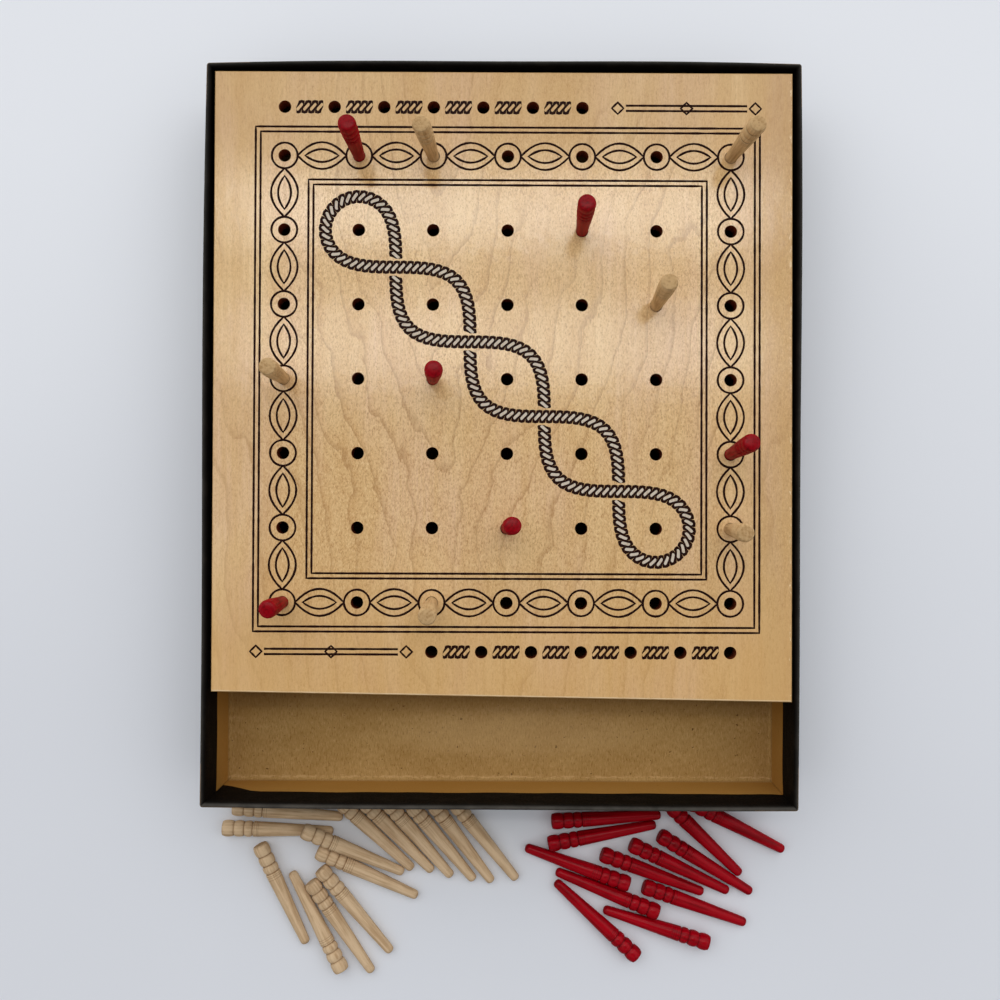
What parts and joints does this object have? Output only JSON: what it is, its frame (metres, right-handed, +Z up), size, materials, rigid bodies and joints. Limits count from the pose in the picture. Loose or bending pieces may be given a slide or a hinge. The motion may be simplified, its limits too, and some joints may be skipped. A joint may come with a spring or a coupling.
{
  "type": "peg board game",
  "caption": "Peg board game in an open black paper-covered box: a plywood board of holes with turned red and natural wood pegs, over a trough for spare pegs.",
  "frame": {"origin": "middle of the box's underside, on the surface that it stands on", "axes": "+Z up, +X to the right with the trough nearest, +Y to the back, away from the trough"},
  "size_m": [0.2064, 0.322, 0.064],
  "materials": {
    "bare_chipboard": "bare brown chipboard with dark flecks",
    "stay_tape": "gummed kraft tape",
    "black_paper": "smooth black box paper, satin",
    "maple_plywood": "lacquered maple face with dark line print",
    "red_stained_wood": "turned hardwood, dyed red and waxed",
    "natural_wood": "turned hardwood, unfinished"
  },
  "bodies": {
    "box": {"tray": "bare_chipboard", "corner_stays": "stay_tape", "side_wrap": "black_paper", "bottom_sheet": "black_paper"},
    "board_rest": {"board_rest": "bare_chipboard"},
    "board": {"board": "maple_plywood"},
    "red_peg_1": {"red_peg_1": "red_stained_wood"},
    "red_peg_2": {"red_peg_2": "red_stained_wood"},
    "red_peg_3": {"red_peg_3": "red_stained_wood"},
    "red_peg_4": {"red_peg_4": "red_stained_wood"},
    "red_peg_5": {"red_peg_5": "red_stained_wood"},
    "red_peg_6": {"red_peg_6": "red_stained_wood"},
    "natural_peg_1": {"natural_peg_1": "natural_wood"},
    "natural_peg_2": {"natural_peg_2": "natural_wood"},
    "natural_peg_3": {"natural_peg_3": "natural_wood"},
    "natural_peg_4": {"natural_peg_4": "natural_wood"},
    "natural_peg_5": {"natural_peg_5": "natural_wood"},
    "natural_peg_6": {"natural_peg_6": "natural_wood"},
    "red_spare_1": {"red_spare_1": "red_stained_wood"},
    "red_spare_2": {"red_spare_2": "red_stained_wood"},
    "red_spare_3": {"red_spare_3": "red_stained_wood"},
    "red_spare_4": {"red_spare_4": "red_stained_wood"},
    "red_spare_5": {"red_spare_5": "red_stained_wood"},
    "red_spare_6": {"red_spare_6": "red_stained_wood"},
    "red_spare_7": {"red_spare_7": "red_stained_wood"},
    "red_spare_8": {"red_spare_8": "red_stained_wood"},
    "red_spare_9": {"red_spare_9": "red_stained_wood"},
    "red_spare_10": {"red_spare_10": "red_stained_wood"},
    "red_spare_11": {"red_spare_11": "red_stained_wood"},
    "red_spare_12": {"red_spare_12": "red_stained_wood"},
    "red_spare_13": {"red_spare_13": "red_stained_wood"},
    "natural_spare_1": {"natural_spare_1": "natural_wood"},
    "natural_spare_2": {"natural_spare_2": "natural_wood"},
    "natural_spare_3": {"natural_spare_3": "natural_wood"},
    "natural_spare_4": {"natural_spare_4": "natural_wood"},
    "natural_spare_5": {"natural_spare_5": "natural_wood"},
    "natural_spare_6": {"natural_spare_6": "natural_wood"},
    "natural_spare_7": {"natural_spare_7": "natural_wood"},
    "natural_spare_8": {"natural_spare_8": "natural_wood"},
    "natural_spare_9": {"natural_spare_9": "natural_wood"},
    "natural_spare_10": {"natural_spare_10": "natural_wood"},
    "natural_spare_11": {"natural_spare_11": "natural_wood"},
    "natural_spare_12": {"natural_spare_12": "natural_wood"},
    "natural_spare_13": {"natural_spare_13": "natural_wood"},
    "natural_spare_14": {"natural_spare_14": "natural_wood"}
  },
  "joints": [
    {"name": "board_frame_slide", "type": "slide", "parent": "box", "child": "board_rest", "axis": [0, -1, 0], "range_m": [0, 0.0337]},
    {"name": "board_lift", "type": "slide", "parent": "board_rest", "child": "board", "axis": [0, 0, 1], "range_m": [0, 0.05]},
    {"name": "red_peg_1_lift", "type": "slide", "parent": "board", "child": "red_peg_1", "axis": [-0.0047, 0.0143, 0.9999], "range_m": [0, 0.045]},
    {"name": "red_peg_2_lift", "type": "slide", "parent": "board", "child": "red_peg_2", "axis": [-0.0237, 0.0327, 0.9992], "range_m": [0, 0.045]},
    {"name": "red_peg_3_lift", "type": "slide", "parent": "board", "child": "red_peg_3", "axis": [0.0663, -0.0215, 0.9976], "range_m": [0, 0.045]},
    {"name": "red_peg_4_lift", "type": "slide", "parent": "board", "child": "red_peg_4", "axis": [0.0073, 0.0693, 0.9976], "range_m": [0, 0.045]},
    {"name": "red_peg_5_lift", "type": "slide", "parent": "board", "child": "red_peg_5", "axis": [0.0486, 0.0394, 0.998], "range_m": [0, 0.045]},
    {"name": "red_peg_6_lift", "type": "slide", "parent": "board", "child": "red_peg_6", "axis": [0.0434, 0.0092, 0.999], "range_m": [0, 0.045]},
    {"name": "natural_peg_1_lift", "type": "slide", "parent": "board", "child": "natural_peg_1", "axis": [-0.0688, 0.0109, 0.9976], "range_m": [0, 0.045]},
    {"name": "natural_peg_2_lift", "type": "slide", "parent": "board", "child": "natural_peg_2", "axis": [0.065, 0.025, 0.9976], "range_m": [0, 0.045]},
    {"name": "natural_peg_3_lift", "type": "slide", "parent": "board", "child": "natural_peg_3", "axis": [-0.0081, 0.0508, 0.9987], "range_m": [0, 0.045]},
    {"name": "natural_peg_4_lift", "type": "slide", "parent": "board", "child": "natural_peg_4", "axis": [0.0293, 0, 0.9996], "range_m": [0, 0.045]},
    {"name": "natural_peg_5_lift", "type": "slide", "parent": "board", "child": "natural_peg_5", "axis": [-0.0535, -0.0238, 0.9983], "range_m": [0, 0.045]},
    {"name": "natural_peg_6_lift", "type": "slide", "parent": "board", "child": "natural_peg_6", "axis": [0.0115, -0.0542, 0.9985], "range_m": [0, 0.045]},
    {"name": "red_spare_1_lift", "type": "slide", "parent": "box", "child": "red_spare_1", "axis": [0, 0, 1], "range_m": [0, 0.04]},
    {"name": "red_spare_2_lift", "type": "slide", "parent": "box", "child": "red_spare_2", "axis": [0, 0, 1], "range_m": [0, 0.04]},
    {"name": "red_spare_3_lift", "type": "slide", "parent": "box", "child": "red_spare_3", "axis": [0, 0, 1], "range_m": [0, 0.04]},
    {"name": "red_spare_4_lift", "type": "slide", "parent": "box", "child": "red_spare_4", "axis": [0, 0, 1], "range_m": [0, 0.04]},
    {"name": "red_spare_5_lift", "type": "slide", "parent": "box", "child": "red_spare_5", "axis": [0, 0, 1], "range_m": [0, 0.04]},
    {"name": "red_spare_6_lift", "type": "slide", "parent": "box", "child": "red_spare_6", "axis": [0, 0, 1], "range_m": [0, 0.04]},
    {"name": "red_spare_7_lift", "type": "slide", "parent": "box", "child": "red_spare_7", "axis": [0, 0, 1], "range_m": [0, 0.04]},
    {"name": "red_spare_8_lift", "type": "slide", "parent": "box", "child": "red_spare_8", "axis": [0, 0, 1], "range_m": [0, 0.04]},
    {"name": "red_spare_9_lift", "type": "slide", "parent": "box", "child": "red_spare_9", "axis": [0, 0, 1], "range_m": [0, 0.04]},
    {"name": "red_spare_10_lift", "type": "slide", "parent": "box", "child": "red_spare_10", "axis": [0, 0, 1], "range_m": [0, 0.04]},
    {"name": "red_spare_11_lift", "type": "slide", "parent": "box", "child": "red_spare_11", "axis": [0, 0, 1], "range_m": [0, 0.04]},
    {"name": "red_spare_12_lift", "type": "slide", "parent": "box", "child": "red_spare_12", "axis": [0, 0, 1], "range_m": [0, 0.04]},
    {"name": "red_spare_13_lift", "type": "slide", "parent": "box", "child": "red_spare_13", "axis": [0, 0, 1], "range_m": [0, 0.04]},
    {"name": "natural_spare_1_lift", "type": "slide", "parent": "box", "child": "natural_spare_1", "axis": [0, 0, 1], "range_m": [0, 0.04]},
    {"name": "natural_spare_2_lift", "type": "slide", "parent": "box", "child": "natural_spare_2", "axis": [0, 0, 1], "range_m": [0, 0.04]},
    {"name": "natural_spare_3_lift", "type": "slide", "parent": "natural_spare_2", "child": "natural_spare_3", "axis": [0, 0, 1], "range_m": [0, 0.04]},
    {"name": "natural_spare_4_lift", "type": "slide", "parent": "box", "child": "natural_spare_4", "axis": [0, 0, 1], "range_m": [0, 0.04]},
    {"name": "natural_spare_5_lift", "type": "slide", "parent": "box", "child": "natural_spare_5", "axis": [0, 0, 1], "range_m": [0, 0.04]},
    {"name": "natural_spare_6_lift", "type": "slide", "parent": "box", "child": "natural_spare_6", "axis": [0, 0, 1], "range_m": [0, 0.04]},
    {"name": "natural_spare_7_lift", "type": "slide", "parent": "box", "child": "natural_spare_7", "axis": [0, 0, 1], "range_m": [0, 0.04]},
    {"name": "natural_spare_8_lift", "type": "slide", "parent": "box", "child": "natural_spare_8", "axis": [0, 0, 1], "range_m": [0, 0.04]},
    {"name": "natural_spare_9_lift", "type": "slide", "parent": "box", "child": "natural_spare_9", "axis": [0, 0, 1], "range_m": [0, 0.04]},
    {"name": "natural_spare_10_lift", "type": "slide", "parent": "box", "child": "natural_spare_10", "axis": [0, 0, 1], "range_m": [0, 0.04]},
    {"name": "natural_spare_11_lift", "type": "slide", "parent": "box", "child": "natural_spare_11", "axis": [0, 0, 1], "range_m": [0, 0.04]},
    {"name": "natural_spare_12_lift", "type": "slide", "parent": "box", "child": "natural_spare_12", "axis": [0, 0, 1], "range_m": [0, 0.04]},
    {"name": "natural_spare_13_lift", "type": "slide", "parent": "box", "child": "natural_spare_13", "axis": [0, 0, 1], "range_m": [0, 0.04]},
    {"name": "natural_spare_14_lift", "type": "slide", "parent": "box", "child": "natural_spare_14", "axis": [0, 0, 1], "range_m": [0, 0.04]}
  ]
}
